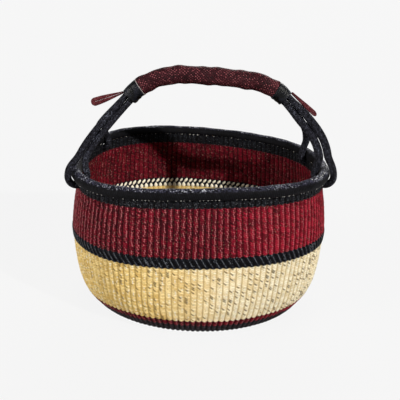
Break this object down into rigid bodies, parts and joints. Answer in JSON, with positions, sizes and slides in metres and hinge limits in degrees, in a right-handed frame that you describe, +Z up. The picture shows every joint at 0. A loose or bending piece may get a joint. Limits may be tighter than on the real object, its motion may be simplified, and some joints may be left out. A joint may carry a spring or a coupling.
{
  "type": "woven market basket",
  "caption": "Round twined-grass market basket with a striped wall, wound rim, rope handle looped through the wall, braided grip, leather cuffs and braided tags that swing.",
  "frame": {"origin": "middle of the flat base where it stands on the floor", "axes": "+Z up, the handle spans the basket along X, the front of the basket faces -Y"},
  "size_m": [0.3891, 0.3848, 0.3538],
  "materials": {
    "black_straw": "dyed grass, satin",
    "burgundy_straw": "dyed grass, satin",
    "natural_straw": "undyed grass, satin",
    "stake_straw": "undyed grass, dull",
    "burgundy_braid": "tight braid of dyed grass, satin",
    "leather": "smooth black goat leather, glossy"
  },
  "bodies": {
    "basket": {"base_weft_outer": "black_straw", "base_burgundy_weft_outer": "burgundy_straw", "natural_weft_outer": "natural_straw", "twined_course_outer": "black_straw", "burgundy_weft_outer": "burgundy_straw", "black_weft_outer": "black_straw", "stakes": "stake_straw", "base_weft_inner": "black_straw", "base_burgundy_weft_inner": "burgundy_straw", "natural_weft_inner": "natural_straw", "twined_course_inner": "natural_straw", "burgundy_weft_inner": "burgundy_straw", "black_weft_inner": "black_straw", "rim_bundle": "stake_straw", "rim_winding": "black_straw", "front_handle_rope": "black_straw", "rear_handle_rope": "black_straw", "grip_wrap": "burgundy_braid", "left_cuff": "leather", "right_cuff": "leather"},
    "left_tag": {"left_tag": "burgundy_braid"},
    "right_tag": {"right_tag": "burgundy_braid"}
  },
  "joints": [
    {"name": "left_tag_swing", "type": "hinge", "parent": "basket", "child": "left_tag", "pos_m": [-0.11882, 0, 0.31122], "axis": [0, 1, 0], "range_deg": [-40, 60]},
    {"name": "right_tag_swing", "type": "hinge", "parent": "basket", "child": "right_tag", "pos_m": [0.13358, 0, 0.31743], "axis": [0, 1, 0], "range_deg": [-70, 10]}
  ]
}
